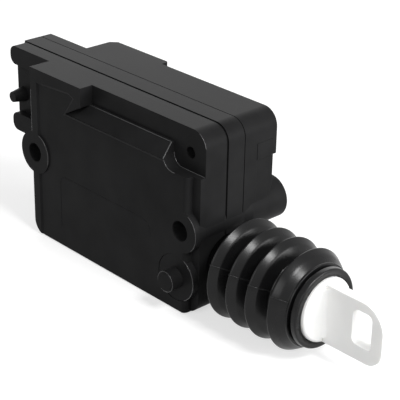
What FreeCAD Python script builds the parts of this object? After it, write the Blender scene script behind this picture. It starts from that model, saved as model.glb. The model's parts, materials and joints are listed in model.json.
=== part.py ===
import FreeCAD, Part
import math
import os
import re
import Sketcher

# Door latch actuator, in millimetres.
# The case stands upright: X runs along it towards the pull rod, Y goes from its front to its back,
# Z points up. All pieces are drawn from the lower left front corner of the case, and each is then
# placed so that the origin lies on the axis of the fixing hole beside the rod, at the front of its boss.

doc = FreeCAD.newDocument("door_latch_actuator")
sheet = doc.addObject("Spreadsheet::Sheet", "Sizes")

sizes = {
    # case outline
    "case_length": 66.0,
    "case_height": 50.0,
    "case_rear": 28.9,
    "seam_front": 11.5,
    "seam_rear": 17.5,
    "wall": 2.0,
    "seam_groove": 0.35,
    "seam_depth": 0.45,
    "rear_groove": 0.12,
    "case_corner": 4.6,
    "foot_corner": 4.0,
    "edge_round": 0.7,
    # steps of the front face
    "field_depth": 0.4,
    "field_border": 2.7,
    "field_slope": 60,
    "ledge_width": 2.7,
    "ledge_depth": 2.5,
    "strip_start": 22.0,
    "strip_height": 5.4,
    "strip_depth": 4.1,
    "strip_ledge": 0.8,
    "bevel_height": 3.8,
    "pocket_width": 11.6,
    "bevel_run_in": 6.6,
    "pocket_height": 11.6,
    "clip_hole_inset": 5.4,
    "clip_hole_drop": 6.5,
    "clip_hole_radius": 1.55,
    "clip_hole_depth": 2.2,
    "pocket_corner": 3.4,
    # fixing bosses
    "front_hole_inset": 5.1,
    "front_hole_z": 23.1,
    "rear_hole_x": 1.1,
    "rear_hole_rise": 0.5,
    "fixing_radius": 2.75,
    "boss_radius": 5.9,
    "boss_waist": 5.3,
    "boss_ring": 1.4,
    "boss_flare": 2.6,
    "ear_radius": 6.2,
    "ear_tube_radius": 4.2,
    "boss_rear": 33.2,
    # locating peg and its disc
    "peg_inset": 6.5,
    "peg_z": 9.3,
    "peg_radius": 2.8,
    "peg_reach": 3.5,
    "peg_bevel": 0.4,
    "disc_radius": 6.5,
    "disc_depth": 1.6,
    # plug socket beside the case
    "socket_length": 18.3,
    "socket_front": 9.0,
    "socket_rear": 21.2,
    "socket_height": 25.6,
    "rail_height": 5.4,
    "rail_front": 6.7,
    "rail_round": 2.2,
    "latch_peg_inset": 2.7,
    "latch_peg_rise": 10.8,
    "latch_peg_radius": 1.5,
    "latch_peg_root": 2.3,
    "latch_peg_front": 4.9,
    # raised block on the back of the case
    "block_left": 1.8,
    "block_right": 21.6,
    "block_rear": 31.4,
    "block_round": 0.8,
    "block_height": 23.0,
    "ear_rear": 28.9,
    "notch_width": 8.5,
    "notch_front": 20.7,
    "notch_height": 26.3,
    "clip_front": 22.0,
    "clip_width": 5.6,
    "clip_drop": 11.8,
    "clip_height": 4.4,
    "clip_proud": 0.12,
    "end_step": 1.0,
    "end_corner": 3.8,
    # motor
    "motor_width": 20.4,
    "motor_depth": 15.4,
    "motor_head_room": 5.8,
    "motor_cap_length": 4.4,
    "motor_boss_radius": 3.0,
    "motor_boss_length": 1.5,
    "motor_shaft_radius": 1.0,
    "motor_corner": 5.6,
    "can_wall": 0.8,
    "magnet_half_angle": 38,
    "magnet_margin": 2.3,
    "armature_radius": 6.0,
    "armature_bottom": 23.0,
    "armature_margin": 11.1,
    "commutator_radius": 2.4,
    "motor_tab_offset": 7.2,
    "motor_tab_height": 1.2,
    "motor_tab_width": 2.2,
    # plug blades and strips
    "blade_y": 15.5,
    "blade_thickness": 0.8,
    "blade_height": 4.0,
    "blade_reach": 9.0,
    "lower_blade_rise": 9.6,
    "upper_blade_rise": 17.6,
    "strip_x": 3.8,
    # carrier plate between the gears and the motor
    "plate_left": 5.6,
    "plate_right": 38.0,
    "plate_bottom": 18.0,
    "plate_thickness": 1.2,
    # gears
    "gear_x": 29.9,
    "gear_y": 14.5,
    "spur_module": 0.5,
    "spur_teeth": 42,
    "pinion_teeth": 12,
    "rack_module": 0.8,
    "rack_pinion_teeth": 12,
    "tooth_play": 0.08,
    "pressure_angle": 25,
    "addendum": 0.9,
    "dedendum": 1.2,
    "spur_bottom": 11.4,
    "spur_width": 2.8,
    "axle_radius": 1.5,
    "axle_boss_radius": 2.9,
    "axle_bottom": 1.0,
    "hub_radius": 3.2,
    "web_depth": 0.9,
    "running_gap": 0.05,
    # pull rod
    "rod_y": 12.3,
    "rod_z": 13.2,
    "rod_radius": 3.3,
    "rack_bottom": 3.6,
    "rack_top": 10.4,
    "rack_back": 5.0,
    "rack_left": 19.4,
    "rack_tooth_count": 10,
    "link_width": 3.6,
    "travel_in": 11.0,
    "travel_out": 5.0,
    "head_out": 28.8,
    "head_radius": 8.4,
    "lip_groove_inset": 1.8,
    "lip_groove_width": 2.2,
    "lip_groove_depth": 1.3,
    "head_length": 6.4,
    "head_round": 0.9,
    "tab_thickness": 2.8,
    "tab_below": 8.1,
    "tab_above": 7.7,
    "tab_length": 18.0,
    "tab_low_corner": 4.8,
    "tab_high_corner": 6.6,
    "tab_root_round": 1.2,
    "tab_root_reach": 6.8,
    "window_inset": 8.7,
    "window_width": 5.9,
    "window_below": 4.1,
    "window_above": 5.3,
    "window_corner": 1.6,
    # bellows
    "bellows_wall": 1.0,
    "bellows_crest_radius": 13.2,
    "bellows_valley_radius": 9.4,
    "first_crest_out": 7.8,
    "bellows_pitch": 6.65,
    "bellows_crest_land": 0.7,
    "collar_radius": 6.4,
    "collar_length": 3.4,
    "lip_ring_reach": 5.2,
    "lip_ring_radius": 10.4,
    "bush_radius": 6.2,
    "bush_length": 6.0,
    "bellows_folds": 4,
    "clearance": 0.3,
}

# places that follow from the sizes, each from the names above it
places = {
    "front_hole_x": "case_length - front_hole_inset",
    "bevel_end": "case_length - pocket_width",
    "pocket_bottom": "case_height - pocket_height",
    "clip_hole_x": "case_length - clip_hole_inset",
    "clip_hole_z": "case_height - clip_hole_drop",
    "peg_x": "case_length - peg_inset",
    "socket_bottom": "case_height - socket_height",
    "rear_hole_z": "socket_bottom + rear_hole_rise",
    "latch_peg_x": "socket_length - latch_peg_inset",
    "latch_peg_z": "socket_bottom + latch_peg_rise",
    "lower_blade_z": "socket_bottom + lower_blade_rise",
    "upper_blade_z": "socket_bottom + upper_blade_rise",
    "block_bottom": "case_height - block_height",
    "inside_rear": "case_rear - wall - end_step / 2",
    "clip_bottom": "case_height - clip_drop",
    "motor_can_length": "case_height - motor_head_room - motor_cap_length - plate_bottom - plate_thickness",
    "magnet_length": "motor_can_length - 2 * magnet_margin",
    "armature_length": "motor_can_length - armature_margin",
    "head_left": "case_length + head_out",
    "head_right": "head_left + head_length",
    "lip_groove_left": "head_left + lip_groove_inset",
    "lip_ring_end": "head_left + lip_ring_reach",
    "tab_tip": "head_right + tab_length",
    "window_left": "head_right + window_inset",
    "window_right": "window_left + window_width",
    "bellows_first_crest": "case_length + first_crest_out",
}

for row, (name, value) in enumerate({**sizes, **places}.items(), start=1):
    sheet.set(f"A{row}", name)
    sheet.set(f"B{row}", str(value) if name in sizes else "=" + value)
    sheet.setAlias(f"B{row}", name)
doc.recompute()

# places that follow from the sizes

link_right = "(case_length - ledge_width - wall - travel_out - clearance)"
link_left = f"({link_right} - link_width)"
motor_x = "(gear_x - spur_module * (spur_teeth + pinion_teeth) / 2)"
strip_bottom = "(case_height - strip_height)"
bevel_bottom = "(case_height - strip_height - bevel_height)"
notch_left = "(case_length - notch_width)"
pitch_line = "(gear_y - rack_module * rack_pinion_teeth / 2)"
rack_root = f"({pitch_line} - dedendum * rack_module)"
rack_pitch = "(rack_module * pi)"
spur_top = "(spur_bottom + spur_width)"
plate_top = "(plate_bottom + plate_thickness)"
can_top = f"({plate_top} + motor_can_length)"
cap_top = f"({can_top} + motor_cap_length)"
tab_top = f"({cap_top} + motor_tab_height)"

# direction of each sketch plane's normal along the axis that it crosses
plane_sign = {"XY": 1, "XZ": -1, "YZ": 1}


def number(expression):
    return float(sheet.evalExpression(expression))


def bound(expression):
    """expression with every size read from the sheet; functions and pi stay as they are"""
    return re.sub(r"\b(?!pi\b)([a-z]\w*)\b(?!\()", r"Sizes.\1", expression)


def bind(item, target, expression):
    item.setExpression(target, bound(expression))


def new_piece(label, x="0", y="0", z="0"):
    """body whose own origin lies at x, y, z from the lower left front corner of the case"""
    body = doc.addObject("PartDesign::Body", label)
    body.Label = label
    bind(body, "Placement.Base.x", f"{x} - front_hole_x")
    bind(body, "Placement.Base.y", f"{y} - field_depth")
    bind(body, "Placement.Base.z", f"{z} - front_hole_z")
    return body


def new_sketch(body, name, plane, level):
    sketch = body.newObject("Sketcher::SketchObject", name)
    base = [item for item in body.Origin.OriginFeatures if item.Role == plane + "_Plane"][0]
    sketch.AttachmentSupport = [(base, "")]
    sketch.MapMode = "FlatFace"
    sign = "" if plane_sign[plane] > 0 else "-"
    bind(sketch, "AttachmentOffset.Base.z", f"{sign}({level})")
    return sketch


def fix_point(sketch, geometry, point, x=None, y=None):
    for kind, expression in (("DistanceX", x), ("DistanceY", y)):
        if expression is None:
            continue
        value = number(expression)
        index = sketch.addConstraint(Sketcher.Constraint(kind, -1, 1, geometry, point, value))
        bind(sketch, f"Constraints[{index}]", expression)


def polygon(*corners):
    def draw(sketch):
        spots = [FreeCAD.Vector(number(x), number(y), 0) for x, y in corners]
        first = sketch.GeometryCount
        count = len(spots)
        for i in range(count):
            sketch.addGeometry(Part.LineSegment(spots[i], spots[(i + 1) % count]))
        for i in range(count):
            after = first + (i + 1) % count
            sketch.addConstraint(Sketcher.Constraint("Coincident", first + i, 2, after, 1))
        for i, (x, y) in enumerate(corners):
            fix_point(sketch, first + i, 1, x, y)
    return draw


def rectangle(x0, y0, x1, y1):
    return outline((x0, y0), (x1, y0), (x1, y1), (x0, y1))


def outline(*corners):
    """closed outline of level and upright lines: a corner is x, y and, where it is round, a radius"""
    def draw(sketch):
        spots = [FreeCAD.Vector(number(corner[0]), number(corner[1]), 0) for corner in corners]
        count = len(spots)
        first = sketch.GeometryCount
        enter, leave, centres, turns = [], [], [], []
        for i, spot in enumerate(spots):
            radius = number(corners[i][2]) if len(corners[i]) > 2 else 0
            back = (spots[i - 1] - spot).normalize()
            ahead = (spots[(i + 1) % count] - spot).normalize()
            enter.append(spot + back * radius)
            leave.append(spot + ahead * radius)
            centres.append(spot + (back + ahead) * radius)
            turns.append(ahead.cross(back).z > 0)
        for i in range(count):
            sketch.addGeometry(Part.LineSegment(leave[i], enter[(i + 1) % count]))
        for i, corner in enumerate(corners):
            before, after = first + (i - 1) % count, first + i
            if len(corner) > 2:
                begin, end = (enter[i], leave[i]) if turns[i] else (leave[i], enter[i])
                angles = [math.atan2(p.y - centres[i].y, p.x - centres[i].x) for p in (begin, end)]
                ring = Part.Circle(centres[i], FreeCAD.Vector(0, 0, 1), number(corner[2]))
                arc = sketch.addGeometry(Part.ArcOfCircle(ring, *angles))
                joined = (1, 2) if turns[i] else (2, 1)
                sketch.addConstraint(Sketcher.Constraint("Tangent", before, 2, arc, joined[0]))
                sketch.addConstraint(Sketcher.Constraint("Tangent", arc, joined[1], after, 1))
                index = sketch.addConstraint(Sketcher.Constraint("Radius", arc, number(corner[2])))
                bind(sketch, f"Constraints[{index}]", corner[2])
            else:
                sketch.addConstraint(Sketcher.Constraint("Coincident", before, 2, after, 1))
            level = corner[1] == corners[(i + 1) % count][1]
            sketch.addConstraint(Sketcher.Constraint("Horizontal" if level else "Vertical", after))
            fix_point(sketch, after, 1, **({"y": corner[1]} if level else {"x": corner[0]}))
    return draw


def circle(x, y, radius):
    def draw(sketch):
        centre = FreeCAD.Vector(number(x), number(y), 0)
        ring = Part.Circle(centre, FreeCAD.Vector(0, 0, 1), number(radius))
        index = sketch.addGeometry(ring)
        fix_point(sketch, index, 3, x, y)
        size_index = sketch.addConstraint(Sketcher.Constraint("Radius", index, number(radius)))
        bind(sketch, f"Constraints[{size_index}]", radius)
    return draw


def drawn(edges):
    """closed outline whose edges are worked out elsewhere"""
    def draw(sketch):
        for edge in edges:
            sketch.addGeometry(edge)
    return draw


def extrude(kind, body, name, plane, start, end, shapes):
    sketch = new_sketch(body, name + "_sketch", plane, start)
    for draw in shapes:
        draw(sketch)
    feature = body.newObject("PartDesign::" + kind, name)
    feature.Profile = sketch
    forward = number(end) > number(start)
    length = f"({end}) - ({start})" if forward else f"({start}) - ({end})"
    bind(feature, "Length", length)
    along = forward == (plane_sign[plane] > 0)
    feature.Reversed = along if kind == "Pocket" else not along
    return feature


def add(body, name, plane, start, end, *shapes):
    return extrude("Pad", body, name, plane, start, end, shapes)


def cut(body, name, plane, start, end, *shapes):
    doc.recompute()
    before = body.Tip.Shape.Volume
    feature = extrude("Pocket", body, name, plane, start, end, shapes)
    doc.recompute()
    if not feature.Shape.Volume < before - 1e-3:
        raise ValueError(f"{name} cuts nothing")
    return feature


def straight_edges(shape, axis, **place):
    """names of the straight edges along an axis whose middle has the given coordinates"""
    found = []
    for index, edge in enumerate(shape.Edges, start=1):
        if not isinstance(edge.Curve, Part.Line):
            continue
        direction = edge.Curve.Direction
        if abs(abs(getattr(direction, axis)) - 1) > 1e-6:
            continue
        middle = edge.CenterOfMass
        if all(abs(getattr(middle, key) - number(value)) < 0.02 for key, value in place.items()):
            found.append(f"Edge{index}")
    return found


def round_rims(shape, **place):
    """names of the full circular edges whose centre has the given coordinates"""
    found = []
    for index, edge in enumerate(shape.Edges, start=1):
        if isinstance(edge.Curve, Part.Circle) and edge.isClosed():
            centre = edge.Curve.Center
            if all(abs(getattr(centre, key) - number(value)) < 0.02 for key, value in place.items()):
                found.append(f"Edge{index}")
    return found


def soften(body, name, kind, radius, picks):
    """rounds or bevels the picked edges: each pick is an axis, or rim, and the place of the edge"""
    doc.recompute()
    shape = body.Tip.Shape
    names = []
    for axis, place in picks:
        found = round_rims(shape, **place) if axis == "rim" else straight_edges(shape, axis, **place)
        if not found:
            raise ValueError(f"{name} finds no edge at {place}")
        names += found
    feature_type = "PartDesign::Fillet" if kind == "round" else "PartDesign::Chamfer"
    base = body.Tip
    feature = body.newObject(feature_type, name)
    feature.Base = (base, sorted(set(names)))
    bind(feature, "Radius" if kind == "round" else "Size", radius)
    return feature


def case_corners(inset):
    """right side of the case, from its left foot round to the top"""
    right = f"case_length - {inset}"
    foot = f"foot_corner - {inset}"
    return ((inset, inset, foot), (right, inset, foot),
            (right, f"case_height - {inset}", f"case_corner - {inset}"))


def shell_outline(inset):
    """case and plug socket as one outline, drawn in by a depth"""
    left = f"{inset} - socket_length"
    low = f"socket_bottom + {inset}"
    return outline((left, low), (inset, low), *case_corners(inset), (left, f"case_height - {inset}"))


def case_outline(inset):
    return outline(*case_corners(inset), (inset, f"case_height - {inset}"))


def socket_outline(inset, *corner):
    left, low, high = f"{inset} - socket_length", f"socket_bottom + {inset}", f"case_height - {inset}"
    return outline((left, low, *corner), ("wall", low), ("wall", high), (left, high, *corner))


def fixing_holes(body, start, end):
    for name, x, z in (("front_hole", "front_hole_x", "front_hole_z"),
                       ("rear_hole", "rear_hole_x", "rear_hole_z")):
        cut(body, name, "XZ", start, end, circle(x, z, "fixing_radius"))


def tapered(body, name, start, end, x, z, near, far):
    """round pad along Y whose radius changes evenly from its near to its far end"""
    feature = add(body, name, "XZ", start, end, circle(x, z, near))
    bind(feature, "TaperAngle", f"-atan(({near} - {far}) / abs(({end}) - ({start})))")


def fixing_bosses(body, start, end):
    add(body, "front_boss", "XZ", start, end, circle("front_hole_x", "front_hole_z", "boss_waist"))
    add(body, "rear_boss", "XZ", start, end, circle("rear_hole_x", "rear_hole_z", "ear_tube_radius"))


def rod_opening(body):
    """round opening for the rod's guide in the end wall"""
    cut(body, "rod_opening", "YZ", "case_length - ledge_width - wall - 0.5", "case_length + 1",
        circle("rod_y", "rod_z", "bush_radius + running_gap"))


# front cover, with the stepped front face and the front of the plug socket

front = new_piece("front_cover")
groove_start = "seam_front - seam_groove"
add(front, "case_front", "XZ", "0", groove_start, case_outline("0"))
cut(front, "end_ledge", "XZ", "-1", "ledge_depth",
    rectangle("case_length - ledge_width", "-1", "case_length + 1", "case_height + 1"))
add(front, "seam_lip", "XZ", groove_start, "seam_front", case_outline("seam_depth"))
add(front, "socket_front_wall", "XZ", "socket_front", groove_start, socket_outline("0", "rail_round"))
add(front, "socket_lip", "XZ", groove_start, "seam_front", socket_outline("seam_depth"))
for name, low in (("top_rail", "case_height - rail_height"), ("low_rail", "socket_bottom")):
    high = f"{low} + rail_height"
    add(front, name, "XZ", "rail_front", "socket_front + 0.5",
        outline(("-socket_length", low, "rail_round"), ("wall", low),
                ("wall", high), ("-socket_length", high, "rail_round")))
field = cut(front, "front_field", "XZ", "0", "field_depth",
            polygon(("field_border", "-1"),
                    ("case_length", "-1"),
                    ("case_length", bevel_bottom),
                    ("strip_start - bevel_run_in", bevel_bottom),
                    ("strip_start - field_border", "case_height - field_border - 1"),
                    ("strip_start - 2 * field_border", "case_height - field_border"),
                    ("field_border", "case_height - field_border - 1")))
bind(field, "TaperAngle", "-field_slope")
cut(front, "top_strip", "XZ", "-1", "strip_depth",
    rectangle("strip_start", strip_bottom, "case_length + 1", "case_height + 1"))
cut(front, "corner_pocket", "XZ", "-1", "strip_depth",
    outline(("bevel_end", "pocket_bottom", "pocket_corner"), ("case_length + 1", "pocket_bottom"),
            ("case_length + 1", "case_height"), ("bevel_end", "case_height")))
soften(front, "plateau_edge", "round", "2 * edge_round",
       [("z", {"x": "case_length - ledge_width", "y": "field_depth"})])
cut(front, "strip_bevel", "YZ", "strip_start", "bevel_end + 0.5",
    polygon(("field_depth", bevel_bottom),
            ("strip_depth - strip_ledge", strip_bottom),
            ("-1", strip_bottom),
            ("-1", bevel_bottom)))
thick_end = new_sketch(front, "bevel_thick_end", "YZ", "strip_start")
polygon(("field_depth", bevel_bottom), ("strip_depth - strip_ledge", strip_bottom), ("-1", strip_bottom),
        ("-1", bevel_bottom))(thick_end)
thin_end = new_sketch(front, "bevel_thin_end", "YZ", "strip_start - bevel_run_in")
polygon(("field_depth - 0.05", bevel_bottom), ("field_depth + 0.05", f"{bevel_bottom} + 0.1"),
        ("-1", f"{bevel_bottom} + 0.1"), ("-1", bevel_bottom))(thin_end)
run_in = front.newObject("PartDesign::SubtractiveLoft", "bevel_run_in")
run_in.Profile = thick_end
run_in.Sections = [thin_end]
cut(front, "disc_seat", "XZ", "-1", "disc_depth", circle("peg_x", "peg_z", "disc_radius"))
add(front, "disc", "XZ", "disc_depth", "ledge_depth + 0.5", circle("peg_x", "peg_z", "disc_radius"))
add(front, "ear", "XZ", "0", groove_start, circle("rear_hole_x", "rear_hole_z", "ear_radius"))
cavity_right = "case_length - ledge_width - wall"
cut(front, "cavity_low", "XZ", "seam_front + 1", "field_depth + wall",
    rectangle("wall", "wall", cavity_right, "pocket_bottom - wall"))
cut(front, "cavity_high", "XZ", "seam_front + 1", "strip_depth + wall",
    rectangle("wall", "pocket_bottom - wall - 1", cavity_right, "case_height - wall"))
add(front, "rack_rail", "XZ", "rack_back", "rack_back + 3",
    rectangle("rack_left - travel_in + 1", "wall - 0.5", f"{link_left} - 2", "rack_bottom - clearance"))
add(front, "plate_rib", "XZ", "field_depth + wall - 0.5", "field_depth + wall + 2",
    rectangle("plate_left", "plate_bottom - 2", "plate_right", "plate_bottom"))
add(front, "rack_rib", "XZ", "field_depth + wall - 0.5", "rack_back - clearance",
    rectangle("rack_left - travel_in + 1", "rack_bottom", f"{link_left} - 2", "rack_bottom + 4"))
fixing_bosses(front, "field_depth", "seam_front")
add(front, "boss_rim", "XZ", "field_depth", "field_depth + boss_ring",
    circle("front_hole_x", "front_hole_z", "boss_radius"))
tapered(front, "boss_neck", "field_depth + boss_ring", "field_depth + boss_ring + boss_flare",
        "front_hole_x", "front_hole_z", "boss_radius", "boss_waist")
fixing_holes(front, "-1", "seam_front + 1")
rod_opening(front)
add(front, "clip_hole_backing", "XZ", "strip_depth + wall - 0.5", "strip_depth + clip_hole_depth + wall",
    circle("clip_hole_x", "clip_hole_z", "clip_hole_radius + wall / 2"))
cut(front, "clip_hole", "XZ", "0", "strip_depth + clip_hole_depth",
    circle("clip_hole_x", "clip_hole_z", "clip_hole_radius"))
peg = new_sketch(front, "peg_sketch", "XZ", "disc_depth")
circle("peg_x", "peg_z", "peg_radius")(peg)
peg_pad = front.newObject("PartDesign::Pad", "locating_peg")
peg_pad.Profile = peg
bind(peg_pad, "Length", "disc_depth + peg_reach")
soften(front, "peg_tip", "bevel", "peg_bevel", [("rim", {"x": "peg_x", "y": "-peg_reach", "z": "peg_z"})])
tapered(front, "latch_peg", "socket_front + 0.5", "latch_peg_front",
        "-latch_peg_x", "latch_peg_z", "latch_peg_root", "latch_peg_radius")

# centre housing, a ring between the two covers that also carries the middle of the plug socket

centre = new_piece("centre_housing")
add(centre, "front_lip", "XZ", "seam_front", "seam_front + seam_groove", shell_outline("seam_depth"))
add(centre, "ring", "XZ", "seam_front + seam_groove", "seam_rear - rear_groove", shell_outline("0"))
add(centre, "rear_lip", "XZ", "seam_rear - rear_groove", "seam_rear", shell_outline("2 * rear_groove"))
add(centre, "ear", "XZ", "seam_front", "seam_rear",
    circle("rear_hole_x", "rear_hole_z", "ear_radius - seam_depth"))
cut(centre, "case_inside", "XZ", "seam_front - 1", "seam_rear + 1",
    rectangle("wall", "wall", "case_length - wall", "case_height - wall"))
cut(centre, "socket_inside", "XZ", "seam_front - 1", "seam_rear + 1",
    rectangle("-socket_length - 1", "socket_bottom + wall", "-wall", "case_height - wall"))
fixing_bosses(centre, "seam_front", "seam_rear")
fixing_holes(centre, "seam_front - 1", "seam_rear + 1")
rod_opening(centre)
add(centre, "axle_boss", "XY", "wall - 0.5", "rack_bottom - clearance",
    circle("gear_x", "gear_y", "axle_boss_radius"))
cut(centre, "axle_seat", "XY", "rack_bottom", "axle_bottom", circle("gear_x", "gear_y", "axle_radius"))
for name, level in (("lower_slot", "lower_blade_z"), ("upper_slot", "upper_blade_z")):
    cut(centre, name, "YZ", "-wall - 1", "wall + 1",
        rectangle("blade_y - blade_thickness / 2", f"{level} - blade_height / 2",
                  "blade_y + blade_thickness / 2", f"{level} + blade_height / 2"))

# rear cover, with the block that stands out behind it and a notch below, round the front boss

rear = new_piece("rear_cover")
add(rear, "lip", "XZ", "seam_rear", "seam_rear + rear_groove", shell_outline("2 * rear_groove"))
add(rear, "case_back", "XZ", "seam_rear + rear_groove", "case_rear", case_outline("0"))
add(rear, "socket_back", "XZ", "seam_rear + rear_groove", "socket_rear", socket_outline("0"))
add(rear, "block", "XZ", "socket_rear - 0.5", "block_rear",
    rectangle("-block_left", "block_bottom", "block_right", "case_height"))
soften(rear, "block_corner", "bevel", "block_left",
       [("z", {"x": "-block_left", "y": "block_rear"})])
soften(rear, "block_end", "round", "block_round",
       [("z", {"x": "block_right", "y": "block_rear"})])
cut(rear, "end_notch", "XZ", "notch_front", "case_rear + 1",
    outline((notch_left, "-1"), ("case_length + 1", "-1"), ("case_length + 1", "notch_height"),
            (notch_left, "notch_height", "1.5 * edge_round")))
rear_edge = "case_rear - end_step"
cut(rear, "end_step_in", "YZ", notch_left, "case_length + 1",
    outline((rear_edge, "clip_bottom"),
            ("case_rear + 1", "clip_bottom"),
            ("case_rear + 1", "notch_height - 1"),
            (f"{rear_edge} - end_corner - 1", "notch_height - 1"),
            (f"{rear_edge} - end_corner - 1", "notch_height"),
            (rear_edge, "notch_height", "end_corner")))
cut(rear, "clip_recess", "YZ", "case_length - clip_proud", "case_length + 1",
    rectangle("clip_front", "notch_height - 1", "case_rear + 1", "clip_bottom"))
add(rear, "ear", "XZ", "seam_rear", "ear_rear",
    circle("rear_hole_x", "rear_hole_z", "ear_radius - seam_depth"))
cut(rear, "rod_inside", "XZ", "seam_rear - 1", "notch_front - wall",
    rectangle("wall", "wall", "case_length - wall", "case_height - wall"))
cut(rear, "case_inside", "XZ", "seam_rear - 1", "inside_rear",
    outline(("wall", "wall"), (f"{notch_left} - wall", "wall"), (f"{notch_left} - wall", "notch_height + wall"),
            ("case_length - wall", "notch_height + wall"), ("case_length - wall", "case_height - wall"),
            ("wall", "case_height - wall")))
cut(rear, "socket_inside", "XZ", "seam_rear - 1", "socket_rear - wall",
    rectangle("-socket_length - 1", "socket_bottom + wall", "-wall", "case_height - wall"))
add(rear, "plate_rib", "XZ", "inside_rear - 2", "inside_rear + 0.5",
    rectangle("plate_left", "plate_bottom - 2", "plate_right", "plate_bottom"))
add(rear, "end_clip", "YZ", "case_length - 0.5", "case_length + clip_proud",
    rectangle("clip_front", "clip_bottom", "clip_front + clip_width", "clip_bottom + clip_height"))
fixing_bosses(rear, "seam_rear", "boss_rear")
tapered(rear, "boss_neck", "notch_front - boss_flare", "notch_front",
        "front_hole_x", "front_hole_z", "boss_waist", "boss_radius")
add(rear, "boss_end", "XZ", "notch_front", "boss_rear", circle("front_hole_x", "front_hole_z", "boss_radius"))
fixing_holes(rear, "seam_rear - 1", "boss_rear + 1")
rod_opening(rear)

# guide bush for the rod, with the collar outside the case that holds the bellows

guide = new_piece("rod_guide")
add(guide, "bush", "YZ", "case_length - wall", "case_length + 0.5",
    circle("rod_y", "rod_z", "bush_radius"))
add(guide, "collar", "YZ", "case_length", "case_length + collar_length",
    circle("rod_y", "rod_z", "collar_radius"))
cut(guide, "bore", "YZ", "case_length - wall - 1", "case_length + collar_length + 1",
    circle("rod_y", "rod_z", "rod_radius + running_gap"))

# pull rod in one piece: rack, link, round rod, head with the bellows groove and the flat eye

rod = new_piece("pull_rod")
add(rod, "rack_bar", "XY", "rack_bottom", "rack_top",
    rectangle("rack_left", "rack_back", link_right, rack_root))
half_tooth = f"({rack_pitch} / 4 - tooth_play / 2)"
tooth_x = f"(gear_x - 3.5 * {rack_pitch})"
foot_flare = "tan(pressure_angle) * (dedendum + 0.4) * rack_module"
tip_taper = "tan(pressure_angle) * addendum * rack_module"
add(rod, "rack_tooth", "XY", "rack_bottom", "rack_top",
    polygon((f"{tooth_x} - {half_tooth} - {foot_flare}", f"{rack_root} - 0.4 * rack_module"),
            (f"{tooth_x} + {half_tooth} + {foot_flare}", f"{rack_root} - 0.4 * rack_module"),
            (f"{tooth_x} + {half_tooth} - {tip_taper}", f"{pitch_line} + addendum * rack_module"),
            (f"{tooth_x} - {half_tooth} + {tip_taper}", f"{pitch_line} + addendum * rack_module")))
doc.recompute()
rack = rod.newObject("PartDesign::LinearPattern", "rack_teeth")
rack.Originals = [doc.getObject("rack_tooth")]
rack.Direction = (doc.getObject("rack_tooth_sketch"), ["H_Axis"])
bind(rack, "Length", f"(rack_tooth_count - 1) * {rack_pitch}")
bind(rack, "Occurrences", "rack_tooth_count")
rod.Tip = rack
add(rod, "link", "XY", "rack_bottom", "rod_z + rod_radius",
    rectangle(link_left, "rack_back", link_right, "rod_y + rod_radius"))
add(rod, "round_rod", "YZ", f"{link_right} - 1", "head_left + 1", circle("rod_y", "rod_z", "rod_radius"))
add(rod, "head", "YZ", "head_left", "head_right", circle("rod_y", "rod_z", "head_radius"))
groove_ring = new_sketch(rod, "lip_groove_sketch", "YZ", "lip_groove_left")
circle("rod_y", "rod_z", "head_radius + 1")(groove_ring)
circle("rod_y", "rod_z", "head_radius - lip_groove_depth")(groove_ring)
doc.recompute()
groove = rod.newObject("PartDesign::Pocket", "lip_groove")
groove.Profile = groove_ring
groove.Reversed = True
bind(groove, "Length", "lip_groove_width")
soften(rod, "head_rim", "round", "head_round", [("rim", {"x": "head_right"})])
add(rod, "eye_tab", "XZ", "rod_y - tab_thickness / 2", "rod_y + tab_thickness / 2",
    outline(("head_left + 5", "rod_z - tab_below"),
            ("tab_tip", "rod_z - tab_below", "tab_low_corner"),
            ("tab_tip", "rod_z + tab_above", "tab_high_corner"),
            ("head_left + 5", "rod_z + tab_above")))
add(rod, "tab_root", "XY", "rod_z - tab_root_reach", "rod_z + tab_root_reach",
    outline(("head_right - tab_root_round", "rod_y - tab_thickness"),
            ("head_right", "rod_y - tab_thickness"),
            ("head_right", "rod_y - tab_thickness / 2", "tab_root_round"),
            ("head_right + 1.5 * tab_root_round", "rod_y - tab_thickness / 2"),
            ("head_right + 1.5 * tab_root_round", "rod_y + tab_thickness / 2"),
            ("head_right", "rod_y + tab_thickness / 2", "tab_root_round"),
            ("head_right", "rod_y + tab_thickness"),
            ("head_right - tab_root_round", "rod_y + tab_thickness")))
cut(rod, "eye_window", "XZ", "rod_y - tab_thickness", "rod_y + tab_thickness",
    outline(("window_left", "rod_z - window_below", "window_corner"),
            ("window_right", "rod_z - window_below", "window_corner / 2"),
            ("window_right", "rod_z + window_above", "window_corner"),
            ("window_left", "rod_z + window_above", "window_corner")))

# bellows, one wall of even thickness folded between the case and the head of the rod


def shifted(points, distance):
    """path moved sideways by a distance, with its corners kept sharp"""
    moved = []
    for i, point in enumerate(points):
        before = (point - points[i - 1]) if i else (points[1] - point)
        after = (points[i + 1] - point) if i + 1 < len(points) else before
        sides = [FreeCAD.Vector(-d.y, d.x, 0).normalize() for d in (before, after)]
        bisector = (sides[0] + sides[1]).normalize()
        moved.append(point + bisector * (distance / bisector.dot(sides[0])))
    return moved


def flattened(points, land):
    """straight edges of a path whose crests are cut off by a land of a given half width"""
    spots = [points[0]]
    for before, point, after in zip(points, points[1:], points[2:]):
        if point.y > max(before.y, after.y):
            spots.append(point + (before - point).normalize() * land)
            spots.append(point + (after - point).normalize() * land)
        else:
            spots.append(point)
    spots.append(points[-1])
    return [Part.LineSegment(a, b) for a, b in zip(spots, spots[1:])]


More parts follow.
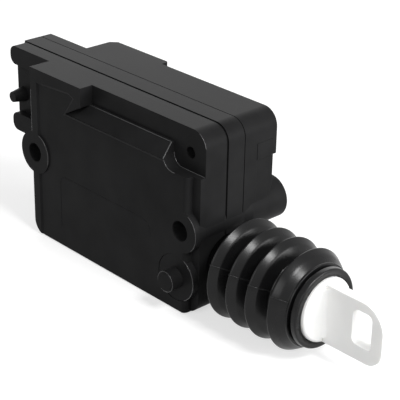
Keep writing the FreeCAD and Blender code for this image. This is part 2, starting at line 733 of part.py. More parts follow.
bellows = new_piece("bellows", y="rod_y", z="rod_z")
crest = number("bellows_crest_radius - bellows_wall / 2")
valley = number("bellows_valley_radius")
first = number("bellows_first_crest")
pitch = number("bellows_pitch")
neck = number("collar_radius + clearance + bellows_wall / 2")
lip_start = number("lip_groove_left + clearance")
path = [(number("case_length + 2 * clearance"), neck), (number("case_length + collar_length"), neck)]
folds = int(number("bellows_folds"))
for fold in range(folds):
    path.append((first + fold * pitch, crest))
    if fold + 1 < folds:
        path.append((first + (fold + 0.5) * pitch, valley))
path.append((lip_start - 0.6, number("head_radius + 1.2")))
path.append((number("lip_groove_left + lip_groove_width + 0.6"), number("head_radius + 1.2")))
path = [FreeCAD.Vector(x, radius, 0) for x, radius in path]
half_wall = number("bellows_wall / 2")
outside = flattened(shifted(path, half_wall), number("bellows_crest_land"))
inside = shifted(path, -half_wall)
inside = [Part.LineSegment(a, b) for a, b in zip(inside, inside[1:])]
ends = [Part.LineSegment(outside[0].StartPoint, inside[0].StartPoint),
        Part.LineSegment(outside[-1].EndPoint, inside[-1].EndPoint)]
section = new_sketch(bellows, "bellows_section", "XY", "0")
drawn(outside + inside + ends)(section)
spun = bellows.newObject("PartDesign::Revolution", "bellows_wall")
spun.Profile = section
spun.ReferenceAxis = (section, ["H_Axis"])
spun.Angle = 360
ring_start = "lip_groove_left + clearance"
ring_end = "lip_groove_left + lip_groove_width - clearance"
lip_ring = new_sketch(bellows, "lip_section", "XY", "0")
rectangle(ring_start, "head_radius - lip_groove_depth + clearance", ring_end, "head_radius + 1.2")(lip_ring)
front_ring = new_sketch(bellows, "lip_ring_section", "XY", "0")
rectangle("lip_groove_left + lip_groove_width + clearance", "head_radius + clearance", "lip_ring_end",
          "lip_ring_radius")(front_ring)
for name, profile in (("bellows_lip", lip_ring), ("lip_front_ring", front_ring)):
    ring = bellows.newObject("PartDesign::Revolution", name)
    ring.Profile = profile
    ring.ReferenceAxis = (profile, ["H_Axis"])
    ring.Angle = 360

# rubber stops for the ends of the rod's travel

outer_stop = new_piece("outer_stop")
add(outer_stop, "ring", "YZ", f"{link_right} + travel_out + clearance", "case_length - wall",
    circle("rod_y", "rod_z", "bush_radius - 0.6"))
cut(outer_stop, "bore", "YZ", link_right, "case_length", circle("rod_y", "rod_z", "rod_radius + clearance"))

inner_stop = new_piece("inner_stop")
add(inner_stop, "pad", "XZ", "rack_back", "rack_back + 3",
    rectangle("wall", "wall", "rack_left - travel_in - clearance", "rack_top - 1"))

# gears, drawn about their own axes


def tooth(module, teeth, angle):
    """one involute tooth of a gear centred on the sketch's origin, pointing along an angle"""
    pressure = math.radians(number("pressure_angle"))
    pitch_radius = module * teeth / 2
    base_radius = pitch_radius * math.cos(pressure)
    tip_radius = pitch_radius + number("addendum") * module
    root_radius = pitch_radius - number("dedendum") * module
    half = (math.pi * module / 2 - number("tooth_play")) / (2 * pitch_radius)
    spread = half + math.tan(pressure) - pressure
    flank = [(root_radius - 0.2 * module, spread)]
    start = max(base_radius, root_radius)
    steps = 3
    for i in range(steps + 1):
        radius = start + (tip_radius - start) * i / steps
        turn = math.acos(min(1, base_radius / radius))
        flank.append((radius, spread - math.tan(turn) + turn))
    upper = [(radius, angle + width) for radius, width in flank]
    lower = [(radius, angle - width) for radius, width in reversed(flank)]
    spots = [FreeCAD.Vector(r * math.cos(a), r * math.sin(a), 0) for r, a in upper + lower]
    return [Part.LineSegment(a, b) for a, b in zip(spots, spots[1:] + spots[:1])]


def toothed_ring(body, name, bottom, top, module, teeth, angle):
    """root cylinder with its teeth: module and teeth are names of sizes"""
    add(body, name + "_root", "XY", bottom, top, circle("0", "0", f"{module} * ({teeth} / 2 - dedendum)"))
    first_tooth = add(body, name + "_tooth", "XY", bottom, top,
                      drawn(tooth(number(module), number(teeth), angle)))
    doc.recompute()
    ring = body.newObject("PartDesign::PolarPattern", name + "_teeth")
    ring.Originals = [first_tooth]
    ring.Axis = (first_tooth.Profile[0], ["N_Axis"])
    ring.Angle = 360
    bind(ring, "Occurrences", teeth)
    body.Tip = ring


gear = new_piece("reduction_gear", x="gear_x", y="gear_y")
toothed_ring(gear, "rack_pinion", "rack_bottom", "spur_bottom + 0.2", "rack_module", "rack_pinion_teeth",
             -math.pi / 2)
toothed_ring(gear, "spur", "spur_bottom", spur_top, "spur_module", "spur_teeth", math.pi)
add(gear, "hub", "XY", spur_top, "plate_bottom - clearance", circle("0", "0", "hub_radius"))
cut(gear, "web", "XY", f"{spur_top} + 1", f"{spur_top} - web_depth",
    circle("0", "0", "spur_module * spur_teeth / 2 - 2"), circle("0", "0", "hub_radius + 1"))
cut(gear, "bore", "XY", "rack_bottom - 1", "plate_bottom", circle("0", "0", "axle_radius + running_gap"))

axle = new_piece("gear_axle", x="gear_x", y="gear_y")
add(axle, "pin", "XY", "axle_bottom", "plate_bottom + plate_thickness", circle("0", "0", "axle_radius"))

pinion = new_piece("motor_pinion", x=motor_x, y="gear_y")
toothed_ring(pinion, "pinion", "spur_bottom - 0.3", "spur_bottom + spur_width + 0.5", "spur_module",
             "pinion_teeth", math.pi / 12)
add(pinion, "collar", "XY", "spur_bottom + spur_width + 0.5", "plate_bottom - motor_boss_length + 0.7",
    circle("0", "0", "2 * motor_shaft_radius"))
cut(pinion, "bore", "XY", "spur_bottom - 1", "plate_bottom", circle("0", "0", "motor_shaft_radius"))

# carrier plate, which the motor stands on and the axle ends in

plate = new_piece("carrier_plate")
add(plate, "plate", "XY", "plate_bottom", plate_top,
    outline(("plate_left", "field_depth + wall + clearance", "2"),
            ("plate_right", "field_depth + wall + clearance", "2"),
            ("plate_right", "inside_rear - clearance", "2"),
            ("plate_left", "inside_rear - clearance", "2")))
cut(plate, "motor_opening", "XY", "plate_bottom - 1", "plate_bottom + 3",
    circle(motor_x, "gear_y", "motor_boss_radius"))
cut(plate, "axle_opening", "XY", "plate_bottom - 1", "plate_bottom + 3",
    circle("gear_x", "gear_y", "axle_radius"))

# motor, about its own shaft


def motor_outline(inset):
    half_width = f"motor_width / 2 - {inset}"
    half_depth = f"motor_depth / 2 - {inset}"
    corner = f"motor_corner - {inset}"
    return outline((f"{inset} - motor_width / 2", f"{inset} - motor_depth / 2", corner),
                   (half_width, f"{inset} - motor_depth / 2", corner),
                   (half_width, half_depth, corner),
                   (f"{inset} - motor_width / 2", half_depth, corner))


can = new_piece("motor_can", x=motor_x, y="gear_y")
add(can, "can", "XY", plate_top, can_top, motor_outline("0"))
add(can, "bearing_boss", "XY", plate_top, f"{plate_top} - motor_boss_length", circle("0", "0", "motor_boss_radius"))
cut(can, "inside", "XY", f"{can_top} + 1", f"{plate_top} + can_wall", motor_outline("can_wall"))
cut(can, "shaft_bore", "XY", "plate_bottom - motor_boss_length", can_top,
    circle("0", "0", "motor_shaft_radius + running_gap"))

cap = new_piece("motor_end_cap", x=motor_x, y="gear_y")
add(cap, "cap", "XY", can_top, cap_top, motor_outline("0.2"))
add(cap, "bearing", "XY", cap_top, f"{cap_top} + 1", circle("0", "0", "motor_boss_radius"))
cut(cap, "shaft_bore", "XY", f"{can_top} - 1", f"{cap_top} + 2",
    circle("0", "0", "motor_shaft_radius + running_gap"))

for side, heading in (("left", math.pi), ("right", 0)):
    magnet = new_piece("magnet_" + side, x=motor_x, y="gear_y")
    inner, outer = number("armature_radius + 0.4"), number("motor_width / 2 - can_wall - 0.2")
    half = math.radians(number("magnet_half_angle"))
    spots = [[FreeCAD.Vector(r * math.cos(heading + a), r * math.sin(heading + a), 0) for a in (-half, 0, half)]
             for r in (inner, outer)]
    edges = [Part.Arc(*spots[0]), Part.Arc(*spots[1]), Part.LineSegment(spots[0][0], spots[1][0]),
             Part.LineSegment(spots[0][2], spots[1][2])]
    add(magnet, "magnet_" + side + "_arc", "XY", f"{plate_top} + can_wall", f"{plate_top} + magnet_length",
        drawn(edges))

armature = new_piece("armature", x=motor_x, y="gear_y")
add(armature, "core", "XY", "armature_bottom", "armature_bottom + armature_length",
    circle("0", "0", "armature_radius"))
slot = cut(armature, "slot", "XY", "armature_bottom - 1", "armature_bottom + armature_length + 1",
           rectangle("armature_radius - 2.6", "-0.6", "armature_radius + 1", "0.6"))
slots = armature.newObject("PartDesign::PolarPattern", "slots")
slots.Originals = [slot]
slots.Axis = (slot.Profile[0], ["N_Axis"])
slots.Angle = 360
slots.Occurrences = 3
armature.Tip = slots
cut(armature, "bore", "XY", "armature_bottom - 1", "armature_bottom + armature_length + 1",
    circle("0", "0", "motor_shaft_radius"))

commutator = new_piece("commutator", x=motor_x, y="gear_y")
add(commutator, "drum", "XY", "armature_bottom + armature_length + 0.5",
    "armature_bottom + armature_length + 3.5", circle("0", "0", "commutator_radius"))
cut(commutator, "bore", "XY", "armature_bottom", "armature_bottom + armature_length + 4",
    circle("0", "0", "motor_shaft_radius"))

shaft = new_piece("motor_shaft", x=motor_x, y="gear_y")
add(shaft, "shaft", "XY", "spur_bottom - 0.3", f"{cap_top} + 1.2", circle("0", "0", "motor_shaft_radius"))

pad = new_piece("motor_pad", x=motor_x, y="gear_y")
add(pad, "pad", "XY", cap_top, "case_height - wall", rectangle("-4", "-6.4", "4", "2.6"))
cut(pad, "opening", "XY", "case_height", can_top, circle("0", "0", "motor_boss_radius + 0.3"))

# plug blades with the strips that lead to the motor

for name, level, y0, y1, end_x in (
        ("upper_terminal", "upper_blade_z", "blade_y - 3", "blade_y", f"{motor_x} - motor_tab_offset + 1.4"),
        ("lower_terminal", "lower_blade_z", "blade_y + 2", "blade_y + 5", f"{motor_x} + motor_tab_offset")):
    terminal = new_piece(name)
    thick = "blade_thickness"
    foot, head = f"{level} - blade_height / 2", f"{level} + blade_height / 2"
    strip_top = f"{tab_top} + {thick}"
    add(terminal, name + "_blade", "YZ", "-blade_reach", "strip_x + 0.1",
        rectangle(f"blade_y - {thick} / 2", foot, f"blade_y + {thick} / 2", head))
    near, far = (y0, f"blade_y + {thick} / 2") if name == "upper_terminal" else (f"blade_y - {thick} / 2", y1)
    add(terminal, name + "_foot", "YZ", "strip_x", f"strip_x + {thick}", rectangle(near, foot, far, head))
    add(terminal, name + "_riser", "YZ", "strip_x", f"strip_x + {thick}", rectangle(y0, foot, y1, strip_top))
    add(terminal, name + "_arm", "XY", tab_top, strip_top, rectangle("strip_x", y0, end_x, y1))

for side, x, y in (("left", f"{motor_x} - motor_tab_offset", "blade_y - 1.5"),
                   ("right", f"{motor_x} + motor_tab_offset - 1.2", "blade_y + 3.5")):
    tab_piece = new_piece("motor_tab_" + side, x=x, y=y)
    add(tab_piece, "tab_" + side, "XY", cap_top, tab_top,
        rectangle("-motor_tab_width / 2", "-blade_thickness / 2", "motor_tab_width / 2", "blade_thickness / 2"))

# every piece has to be sound before any is written

doc.recompute()
failed = [item.Name for item in doc.Objects if "Invalid" in item.State or "Error" in item.State]
if failed:
    raise RuntimeError(f"failed features: {failed}")
bodies = doc.findObjects("PartDesign::Body")
for body in bodies:
    if body.Shape.isNull() or not body.Shape.isValid() or len(body.Shape.Solids) != 1:
        raise RuntimeError(f"{body.Label} is not one sound solid")
os.makedirs("parts", exist_ok=True)
for body in bodies:
    body.Shape.exportStep(f"parts/{body.Label}.step")
    print(body.Label, round(body.Shape.Volume), "cubic mm")
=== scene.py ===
import bmesh
import bpy
import json
import math
from mathutils import Matrix, Vector


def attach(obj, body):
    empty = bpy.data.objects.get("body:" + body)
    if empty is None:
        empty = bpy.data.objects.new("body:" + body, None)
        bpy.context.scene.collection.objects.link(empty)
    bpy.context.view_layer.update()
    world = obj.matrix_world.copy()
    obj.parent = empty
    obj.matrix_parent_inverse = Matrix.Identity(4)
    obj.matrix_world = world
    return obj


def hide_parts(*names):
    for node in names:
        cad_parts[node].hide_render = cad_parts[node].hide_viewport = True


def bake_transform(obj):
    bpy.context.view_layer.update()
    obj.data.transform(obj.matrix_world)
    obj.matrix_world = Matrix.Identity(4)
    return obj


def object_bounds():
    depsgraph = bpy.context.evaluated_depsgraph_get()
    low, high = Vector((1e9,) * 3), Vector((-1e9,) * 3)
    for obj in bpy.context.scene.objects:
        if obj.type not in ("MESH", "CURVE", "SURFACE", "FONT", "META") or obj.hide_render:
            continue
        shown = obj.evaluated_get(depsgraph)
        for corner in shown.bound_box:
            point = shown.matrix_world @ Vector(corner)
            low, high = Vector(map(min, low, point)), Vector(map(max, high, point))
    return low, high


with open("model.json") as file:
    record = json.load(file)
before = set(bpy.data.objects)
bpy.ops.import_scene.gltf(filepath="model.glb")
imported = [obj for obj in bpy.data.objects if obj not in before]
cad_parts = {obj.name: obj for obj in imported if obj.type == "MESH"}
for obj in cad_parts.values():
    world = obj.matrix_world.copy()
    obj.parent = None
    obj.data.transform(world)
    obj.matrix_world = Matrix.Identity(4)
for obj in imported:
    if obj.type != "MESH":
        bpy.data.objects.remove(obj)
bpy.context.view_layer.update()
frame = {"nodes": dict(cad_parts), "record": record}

mm = 0.001
bpy.context.scene.view_settings.view_transform = "Standard"


def addObject(name, data):
    made = bpy.data.objects.new(name, data)
    bpy.context.scene.collection.objects.link(made)
    return made


def meshFrom(bm, name):
    mesh = bpy.data.meshes.new(name)
    bm.to_mesh(mesh)
    bm.free()
    return mesh


# Camera at the photograph's place

photoView = {
    "azimuth": 46.556,       # degrees round to the right of straight on
    "elevation": 25.703,     # degrees above the level
    "roll": 1.178,           # degrees
    "lens": 121.146,         # mm
    "sensor": 36,            # mm
    "nearest": 0.01,         # m
    "place": (221.978, -203.446, 153.744),   # mm from the fixing hole
}


def placeCamera(view):
    a, e, r = (math.radians(view[key]) for key in ("azimuth", "elevation", "roll"))
    back = Vector((math.sin(a) * math.cos(e), -math.cos(a) * math.cos(e), math.sin(e)))
    right = Vector((math.cos(a), math.sin(a), 0))
    up = back.cross(right)
    rolledRight = right * math.cos(r) + up * math.sin(r)
    rolledUp = up * math.cos(r) - right * math.sin(r)
    data = bpy.data.cameras.new("photoCamera")
    data.lens = view["lens"]
    data.sensor_width = view["sensor"]
    data.clip_start = view["nearest"]
    camera = addObject("photoCamera", data)
    turn = Matrix((rolledRight, rolledUp, back)).transposed().to_4x4()
    camera.matrix_world = Matrix.Translation(Vector(view["place"]) * mm) @ turn
    bpy.context.scene.camera = camera


placeCamera(photoView)
print("camera placed")


# Floor, world and lamps

studio = {
    "floorSize": 6.0,        # m
    "floorColour": 0.5,
    "floorGlow": 0.62,       # only where the floor is seen, not as light on the object
    "worldLight": 0.25,      # as light on the object
    "worldSeen": 1.0,
}

lamps = {                    # m from the fixing hole, which each lamp faces, and watts
    "skyLamp": {"place": (-0.59, 0.56, 0.40), "size": 0.8, "watts": 2.8},
    "topLamp": {"place": (0.545, -0.03, 0.66), "size": 0.21, "watts": 5.1},
    "endLamp": {"place": (0.58, 0.24, 0.14), "size": 0.4, "watts": 4.2},
    "frontLamp": {"place": (0.25, -0.8, 0.5), "size": 0.5, "watts": 2.8},
}


# 1 where the camera, a reflection or a clear piece shows it, 0 where it only gives light
def seenDirectly(nodes, links):
    path = nodes.new("ShaderNodeLightPath")
    seen = path.outputs["Is Camera Ray"]
    for ray in ("Is Glossy Ray", "Is Transmission Ray"):
        either = nodes.new("ShaderNodeMath")
        either.operation = "MAXIMUM"
        links.new(seen, either.inputs[0])
        links.new(path.outputs[ray], either.inputs[1])
        seen = either.outputs[0]
    return seen


def makeFloor(level):
    bm = bmesh.new()
    bmesh.ops.create_grid(bm, x_segments=1, y_segments=1, size=studio["floorSize"] / 2)
    bmesh.ops.translate(bm, verts=bm.verts, vec=(0, 0, level))
    floor = addObject("studioFloor", meshFrom(bm, "studioFloor"))
    material = bpy.data.materials.new("paleFloor")
    material.use_nodes = True
    nodes, links = material.node_tree.nodes, material.node_tree.links
    nodes.clear()
    paper = nodes.new("ShaderNodeBsdfDiffuse")
    paper.inputs["Color"].default_value = (*[studio["floorColour"]] * 3, 1)
    glow = nodes.new("ShaderNodeEmission")
    strength = nodes.new("ShaderNodeMath")
    strength.operation = "MULTIPLY"
    strength.inputs[1].default_value = studio["floorGlow"]
    links.new(seenDirectly(nodes, links), strength.inputs[0])
    links.new(strength.outputs[0], glow.inputs["Strength"])
    total = nodes.new("ShaderNodeAddShader")
    links.new(paper.outputs[0], total.inputs[0])
    links.new(glow.outputs[0], total.inputs[1])
    output = nodes.new("ShaderNodeOutputMaterial")
    links.new(total.outputs[0], output.inputs["Surface"])
    floor.data.materials.append(material)


def makeWorld():
    world = bpy.data.worlds.new("paleRoom")
    bpy.context.scene.world = world
    world.use_nodes = True
    nodes, links = world.node_tree.nodes, world.node_tree.links
    nodes.clear()
    background = nodes.new("ShaderNodeBackground")
    background.inputs["Color"].default_value = (1, 1, 1, 1)
    spread = nodes.new("ShaderNodeMapRange")
    spread.inputs["To Min"].default_value = studio["worldLight"]
    spread.inputs["To Max"].default_value = studio["worldSeen"]
    links.new(seenDirectly(nodes, links), spread.inputs["Value"])
    links.new(spread.outputs["Result"], background.inputs["Strength"])
    output = nodes.new("ShaderNodeOutputWorld")
    links.new(background.outputs[0], output.inputs["Surface"])


def addLamp(name, lamp):
    data = bpy.data.lights.new(name, "AREA")
    data.energy = lamp["watts"]
    data.size = lamp["size"]
    place = Vector(lamp["place"])
    facing = place.to_track_quat("Z", "Y")
    addObject(name, data).matrix_world = Matrix.Translation(place) @ facing.to_matrix().to_4x4()


makeWorld()
for lampName, lamp in lamps.items():
    addLamp(lampName, lamp)
print("studio lit")


# Finishes

surface = {                        # the same for every finish
    "cloudScale": 90,              # clouds of tone to the metre
    "cloudDetail": 4,
    "cloudRange": (0.3, 0.7),      # cloud values that take the dark and the light tone
    "glossRange": (-0.05, 0.07),   # added to the roughness
    "grainDetail": 3,
    "grainHeight": 0.03,           # mm
    "edgeSamples": 4,
    "depthReach": 1.2,             # mm that light travels inside
    "depthTint": (1.0, 0.95, 0.9),
}

# patch is the share by which the tone changes, grain the strength of the bumps and grainSize
# their mm, edge the mm by which edges look softened, depth the share of light that goes inside
finishes = {
    "caseNylon": {"colour": (0.0125, 0.0125, 0.0128), "rough": 0.4, "level": 0.028,
                  "patch": 0.25, "grain": 0.25, "grainSize": 0.25, "edge": 0.12},
    # the edge finish is the case plastic made lighter and glossier; its lighter colour is painted
    # highlight on the glinting edges of the front
    "caseEdgePaintedGlint": {"colour": (0.035, 0.035, 0.036), "rough": 0.22, "level": 0.5,
                 "patch": 0.3, "grain": 0.1, "grainSize": 0.25, "edge": 0},
    "bushNylon": {"colour": (0.012, 0.012, 0.0125), "rough": 0.5, "level": 0.1,
                  "patch": 0.2, "grain": 0.2, "grainSize": 0.25, "edge": 0.1},
    "bootRubber": {"colour": (0.003, 0.003, 0.0032), "rough": 0.26, "level": 0.22,
                   "patch": 0.3, "grain": 0.15, "grainSize": 0.4, "edge": 0},
    "whiteAcetal": {"colour": (0.85, 0.85, 0.84), "rough": 0.34, "level": 0.5, "depth": 0.35,
                    "patch": 0.03, "grain": 0.08, "grainSize": 0.6, "edge": 0.15},
    "gearNylon": {"colour": (0.74, 0.71, 0.6), "rough": 0.42, "level": 0.5,
                  "patch": 0.05, "grain": 0.1, "grainSize": 0.5, "edge": 0.06},
    "zincSteel": {"colour": (0.56, 0.57, 0.6), "rough": 0.32, "level": 0.5, "metal": 1,
                  "patch": 0.15, "grain": 0.1, "grainSize": 0.3, "edge": 0.08},
    "darkSteel": {"colour": (0.24, 0.24, 0.26), "rough": 0.4, "level": 0.5, "metal": 1,
                  "patch": 0.2, "grain": 0.1, "grainSize": 0.3, "edge": 0.05},
    "ferrite": {"colour": (0.05, 0.05, 0.055), "rough": 0.7, "level": 0.4,
                "patch": 0.2, "grain": 0.5, "grainSize": 0.3, "edge": 0.1},
    "brassStrip": {"colour": (0.64, 0.47, 0.19), "rough": 0.3, "level": 0.5, "metal": 1,
                   "patch": 0.2, "grain": 0.1, "grainSize": 0.3, "edge": 0.05},
    "capNylon": {"colour": (0.6, 0.6, 0.57), "rough": 0.5, "level": 0.4,
                 "patch": 0.08, "grain": 0.15, "grainSize": 0.4, "edge": 0.1},
    "stopRubber": {"colour": (0.02, 0.02, 0.02), "rough": 0.75, "level": 0.3,
                   "patch": 0.2, "grain": 0.4, "grainSize": 0.5, "edge": 0.15},
}


def makeFinish(name):
    values = finishes[name]
    material = bpy.data.materials.new(name)
    material.use_nodes = True
    nodes, links = material.node_tree.nodes, material.node_tree.links
    shader = nodes["Principled BSDF"]
    shader.inputs["Metallic"].default_value = values.get("metal", 0)
    shader.inputs["Specular IOR Level"].default_value = values["level"]
    if "depth" in values:
        shader.inputs["Subsurface Weight"].default_value = values["depth"]
        shader.inputs["Subsurface Radius"].default_value = surface["depthTint"]
        shader.inputs["Subsurface Scale"].default_value = surface["depthReach"] * mm
    place = nodes.new("ShaderNodeTexCoord").outputs["Object"]

    # slow cloudy change of tone and gloss, as a moulding has
    cloud = nodes.new("ShaderNodeTexNoise")
    cloud.inputs["Scale"].default_value = surface["cloudScale"]
    cloud.inputs["Detail"].default_value = surface["cloudDetail"]
    links.new(place, cloud.inputs["Vector"])
    tone = nodes.new("ShaderNodeValToRGB")
    for stop, limit, side in zip(tone.color_ramp.elements, surface["cloudRange"], (-1, 1)):
        stop.position = limit
        stop.color = (*[min(1, c * (1 + side * values["patch"])) for c in values["colour"]], 1)
    links.new(cloud.outputs["Fac"], tone.inputs["Fac"])
    links.new(tone.outputs["Color"], shader.inputs["Base Color"])
    gloss = nodes.new("ShaderNodeMapRange")
    for end, change in zip(("To Min", "To Max"), surface["glossRange"]):
        gloss.inputs[end].default_value = values["rough"] + change
    links.new(cloud.outputs["Fac"], gloss.inputs["Value"])
    links.new(gloss.outputs["Result"], shader.inputs["Roughness"])

    # fine grain over softened edges
    grain = nodes.new("ShaderNodeTexNoise")
    grain.inputs["Scale"].default_value = 1 / (values["grainSize"] * mm)
    grain.inputs["Detail"].default_value = surface["grainDetail"]
    links.new(place, grain.inputs["Vector"])
    bump = nodes.new("ShaderNodeBump")
    bump.inputs["Strength"].default_value = values["grain"]
    bump.inputs["Distance"].default_value = surface["grainHeight"] * mm
    links.new(grain.outputs["Fac"], bump.inputs["Height"])
    if values["edge"]:
        edge = nodes.new("ShaderNodeBevel")
        edge.samples = surface["edgeSamples"]
        edge.inputs["Radius"].default_value = values["edge"] * mm
        links.new(edge.outputs["Normal"], bump.inputs["Normal"])
    links.new(bump.outputs["Normal"], shader.inputs["Normal"])
    return material


finishOf = {
    "case_plastic": "caseNylon", "bush_plastic": "bushNylon", "boot_rubber": "bootRubber",
    "rod_plastic": "whiteAcetal", "gear_plastic": "gearNylon", "zinc_steel": "zincSteel",
    "dark_steel": "darkSteel", "magnet": "ferrite", "brass": "brassStrip",
    "cap_plastic": "capNylon", "stop_rubber": "stopRubber",
}
materials = {name: makeFinish(name) for name in finishes}
for part in frame["record"]["subparts"]:
    mesh = frame["nodes"][part["node"]].data
    mesh.materials.clear()
    mesh.materials.append(materials[finishOf[part["material_slot"]]])
print("finishes made")


def addPiece(name, mesh, finish):
    mesh.materials.clear()
    mesh.materials.append(materials[finish])
    piece = addObject(name, mesh)
    return piece


def shadeSmooth(mesh):
    mesh.polygons.foreach_set("use_smooth", [True] * len(mesh.polygons))


# closed outline through the places, turned about an axis by some degrees
def spinOutline(bm, places, centre, axis, angle, steps):
    verts = [bm.verts.new(place) for place in places]
    edges = [bm.edges.new(pair) for pair in zip(verts, verts[1:] + verts[:1])]
    bmesh.ops.spin(bm, geom=verts + edges, cent=centre, axis=axis, steps=steps,
                   angle=math.radians(angle), use_merge=angle == 360)


# Bellows, modelled over its plain solid

bellows = {                        # mm, along the rod from the fixing hole and out from its axis
    "crests": 4,
    "firstCrest": 12.0,
    "pitch": 6.65,
    "crest": (0.0, 13.75, 0.35),   # place in the fold, radius and rounding
    "shoulder": (1.8, 12.05, 2.6),
    "valley": (3.8, 8.5, 0.5),
    "lastCrest": (0.7, 13.5, 0.35),
    "lastShoulder": (2.6, 12.35, 5.0),
    "neck": [(5.7, 7.7, 0), (8.9, 7.7, 0.8)],
    "rim": [(36.25, 10.75, 0.3), (36.5, 11.05, 0.12), (36.8, 10.95, 0.12)],
    "lip": [(36.95, 9.7, 0.2), (37.45, 9.7, 0.2), (37.65, 10.55, 0.25), (39.1, 10.4, 0.4),
            (39.1, 8.55, 0)],
    "wall": 1.0,
    "bore": 8.55,                  # inside the lip, over the head
    "boreStart": 34.2,
    "stretch": (8.6, 34.6),        # the stretch of the boot between the case and the rod, mm along the rod
    "steps": 8,                    # on each rounded corner
    "turns": 112,
    "seamAngle": 66,               # degrees from the top towards the front, where the mould parted
    "seamWidth": 1.3,              # degrees
    "seamHeight": 0.28,
    "seamLead": 1,                 # before the first crest
}


def middleOf(node):
    corners = [Vector(c) for c in frame["nodes"][node].bound_box]
    return sum(corners, Vector()) / 8


def roundedPath(points, steps):      # through the points, each corner with its own rounding
    path = [points[0][:2]]
    for before, corner, after in zip(points, points[1:], points[2:]):
        radius = corner[2]
        middle = Vector(corner[:2])
        a = (Vector(before[:2]) - middle).normalized()
        b = (Vector(after[:2]) - middle).normalized()
        half = a.angle(b) / 2
        centre = middle + (a + b).normalized() * radius / math.sin(half)
        touching = [middle + side * radius / math.tan(half) for side in (a, b)]
        first, last = (math.atan2(*(place - centre).yx) for place in touching)
        turn = (last - first + math.pi) % (2 * math.pi) - math.pi
        for i in range(steps + 1):
            angle = first + turn * i / steps
            path.append((centre.x + radius * math.cos(angle), centre.y + radius * math.sin(angle)))
    return path + [points[-1][:2]]


def foldLine(b):       # from the collar to the lip on the head
    corners = list(b["neck"])
    for i in range(b["crests"]):
        x = b["firstCrest"] + i * b["pitch"]
        isLast = i + 1 == b["crests"]
        names = ("lastCrest", "lastShoulder") if isLast else ("crest", "shoulder", "valley")
        corners += [(x + b[name][0], *b[name][1:]) for name in names]
    return roundedPath(corners + b["rim"] + b["lip"], b["steps"])


def aroundRod(bm, points, centre, start, angle, steps):
    turn = Matrix.Rotation(math.radians(start), 4, "X")
    places = [turn @ Vector((x * mm, 0, r * mm)) + centre for x, r in points]
    spinOutline(bm, places, centre, (1, 0, 0), angle, steps)


def seamMesh(b, outer, centre):      # fine raised line across the folds
    folds = [(x, r) for x, r in outer if b["firstCrest"] - b["seamLead"] < x < b["rim"][0][0]]
    raised = [(x, r + b["seamHeight"]) for x, r in folds]
    lowered = [(x, r - b["seamHeight"]) for x, r in reversed(folds)]
    bm = bmesh.new()
    aroundRod(bm, raised + lowered, centre, b["seamAngle"], b["seamWidth"], 1)
    bmesh.ops.holes_fill(bm, edges=[edge for edge in bm.edges if edge.is_boundary], sides=0)
    bmesh.ops.triangulate(bm, faces=[face for face in bm.faces if len(face.verts) > 4])
    bmesh.ops.recalc_face_normals(bm, faces=bm.faces)
    return meshFrom(bm, "bootSeam")


def makeBellows(b):
    middle = middleOf("bellows")
    centre = Vector((0, middle.y, middle.z))
    outer = foldLine(b)
    inner = [(x, r - b["wall"]) for x, r in reversed(outer) if x < b["boreStart"]]
    bm = bmesh.new()
    aroundRod(bm, outer + [(b["boreStart"], b["bore"])] + inner, centre, 0, 360, b["turns"])
    bmesh.ops.recalc_face_normals(bm, faces=bm.faces)
    bm.from_mesh(seamMesh(b, outer, centre))
    mesh = meshFrom(bm, "bellowsBoot")
    shadeSmooth(mesh)
    piece = addPiece("bellowsBoot", mesh, "bootRubber")
    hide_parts("bellows")
    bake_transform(piece)


makeBellows(bellows)
print("bellows made")


# Collar round the foot of the locating peg

pegCollar = {
    "centre": (-1.4, -13.8),     # mm, across and up from the fixing hole
    "radii": (2.75, 6.5),        # mm
    "depths": (0.12, 1.25),      # mm behind the front plane
    "rim": 0.08,                 # mm
    "turns": 64,
}


def makePegCollar(c):
    x, z = c["centre"]
    inner, outer = c["radii"]
    front, back = c["depths"]
    section = [(inner, back), (inner, front), (outer - c["rim"], front),
               (outer, front + c["rim"]), (outer, back)]
    bm = bmesh.new()
    places = [((x + r) * mm, y * mm, z * mm) for r, y in section]
    spinOutline(bm, places, (x * mm, 0, z * mm), (0, 1, 0), 360, c["turns"])
    bmesh.ops.recalc_face_normals(bm, faces=bm.faces)
    piece = addPiece("pegCollar", meshFrom(bm, "pegCollar"), "caseNylon")
    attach(piece, "housing")


makePegCollar(pegCollar)
print("collar made")


# Fine raised lines on the edges of the front, where the edges glint; all but the panel line take
# the lighter edge finish, whose lighter colour is painted highlight

lineShape = {
    "ringSteps": 32,
    "roundness": 2,
}

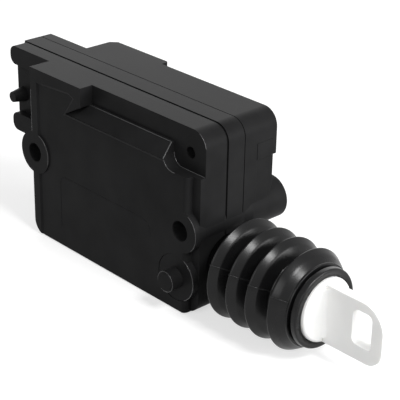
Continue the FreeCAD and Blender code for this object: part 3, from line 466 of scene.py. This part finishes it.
# mm from the fixing hole: size is the line's radius, depths the place behind the front plane at
# its two ends, points go across and up, ring is a centre, a radius and the degrees that it spans
frontRaisedLines = {
    "ledge": {"size": 0.11, "depths": (2.85, 2.85), "points": [(-41.5, 21.5), (-6.5, 21.5)]},
    "bevelEnd": {"size": 0.17, "depths": (2.85, -0.02), "points": [(-6.5, 21.5), (-6.5, 17.7)]},
    "pocketFloor": {"size": 0.12, "depths": (3.62, 3.62),
                    "points": [(-6.42, 18.6), (-6.2, 17.4), (-5.4, 16.3), (-4.3, 15.6),
                               (-3.1, 15.38), (4.9, 15.38)]},
    "pocketRim": {"size": 0.11, "depths": (0.03, 0.03),
                  "points": [(-6.5, 17.7), (-6.2, 17.2), (-5.5, 16.2), (-4.4, 15.5),
                             (-3.1, 15.25), (-2.2, 15.25)]},
    "panel": {"size": 0.07, "depths": (0.01, 0.01), "finish": "caseNylon",
              "points": [(-48.9, -17.2), (-48.9, -3.6), (-48.3, -2.2), (-47.0, -1.6),
                         (-14.4, -1.6), (-12.4, -2.3), (-11.4, -4.2), (-11.4, -6.0)]},
    "leftEdge": {"size": 0.1, "depths": (-0.34, -0.34), "points": [(-60.84, 20.3), (-60.84, 7.9)]},
    "earRim": {"size": 0.1, "depth": -0.38, "ring": (-59.8, 1.8, 5.95, -20, 70)},
    "bossRim": {"size": 0.07, "depth": 0.02, "ring": (0, 0, 5.85, -45, 60)},
    "caseCorner": {"size": 0.08, "depth": 3.72, "ring": (0.5, 22.3, 4.56, 10, 62)},
    "pegTip": {"size": 0.08, "depth": -3.5, "ring": (-1.4, -13.8, 2.8, 0, 360)},
    "collarRim": {"size": 0.1, "depth": 0.18, "ring": (-1.4, -13.8, 6.44, -60, 66)},
}


def ringRun(line):
    x, z, radius, start, end = line["ring"]
    steps = lineShape["ringSteps"]
    angles = [math.radians(start + (end - start) * i / steps) for i in range(steps + 1)]
    if end - start == 360:
        angles.pop()
    return [(x + radius * math.cos(t), line["depth"], z + radius * math.sin(t)) for t in angles]


def pointRun(line):
    first, last = line["depths"]
    steps = len(line["points"]) - 1
    return [(x, first + (last - first) * i / steps, z) for i, (x, z) in enumerate(line["points"])]


def makeRaisedLine(name, line):
    curve = bpy.data.curves.new(name, "CURVE")
    curve.dimensions = "3D"
    curve.bevel_depth = line["size"] * mm
    curve.bevel_resolution = lineShape["roundness"]
    curve.use_fill_caps = True
    run = ringRun(line) if "ring" in line else pointRun(line)
    spline = curve.splines.new("POLY")
    spline.points.add(len(run) - 1)
    for point, place in zip(spline.points, run):
        point.co = (*(value * mm for value in place), 1)
    spline.use_cyclic_u = len(run) == lineShape["ringSteps"]      # a full ring closes on itself
    draft = bpy.data.objects.new(name + "Draft", curve)
    mesh = bpy.data.meshes.new_from_object(draft)
    bpy.data.objects.remove(draft)
    shadeSmooth(mesh)
    # a line without a finish of its own takes the lighter edge finish: painted highlight
    piece = addPiece("raised_" + name, mesh, line.get("finish", "caseEdgePaintedGlint"))
    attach(piece, "housing")


for lineName, line in frontRaisedLines.items():
    makeRaisedLine(lineName, line)
print("front finished")

lowest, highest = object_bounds()
makeFloor(lowest.z)
